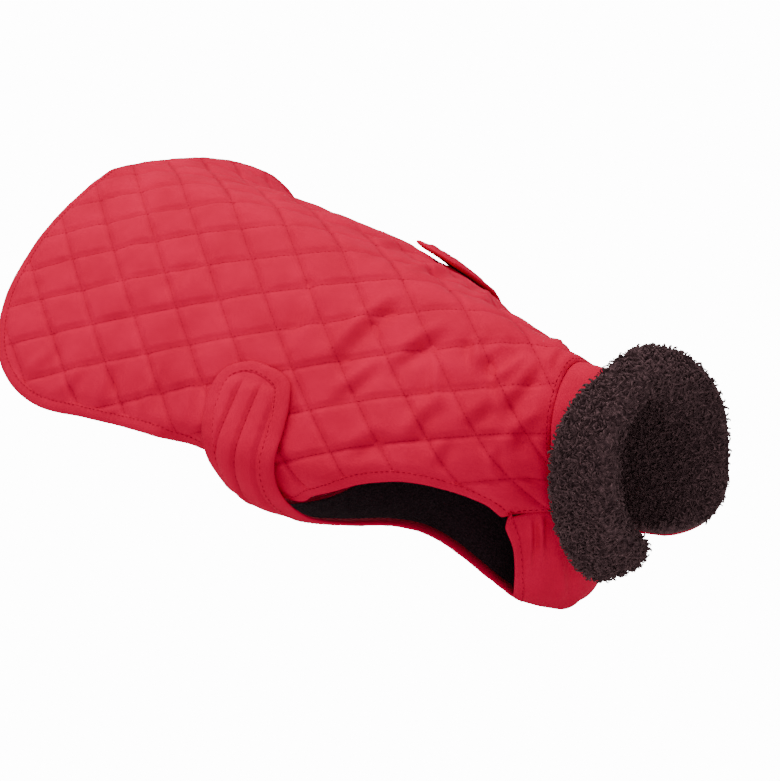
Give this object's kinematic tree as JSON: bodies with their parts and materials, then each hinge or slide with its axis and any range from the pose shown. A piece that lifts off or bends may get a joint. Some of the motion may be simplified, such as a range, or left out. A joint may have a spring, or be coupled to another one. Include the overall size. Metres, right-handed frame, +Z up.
{
  "type": "dog winter coat",
  "caption": "Quilted dog winter coat in its hollow worn form, with a turned-down sherpa collar, fleece lining, open leg holes and belly straps that overlap the sides",
  "frame": {"origin": "inside of the back's lining, on the middle line over the withers, 120 mm behind the nape, where the wearer carries the coat", "axes": "+X forward to the neck, +Y to the dog's left, +Z up"},
  "size_m": [0.6082, 0.3887, 0.2479],
  "materials": {
    "red_cloth": "matt woven nylon, softly sheened",
    "red_binding": "matt woven tape",
    "dark_fleece": "matt short fleece",
    "brown_pile": "matt curly sherpa pile"
  },
  "bodies": {
    "root": {"back_panel": "red_cloth", "back_lining": "dark_fleece", "chest_belly_panel": "red_cloth", "chest_belly_lining": "dark_fleece", "back_binding": "red_binding", "belly_binding": "red_binding", "collar_band": "red_cloth", "collar_pile": "brown_pile"}
  },
  "joints": []
}
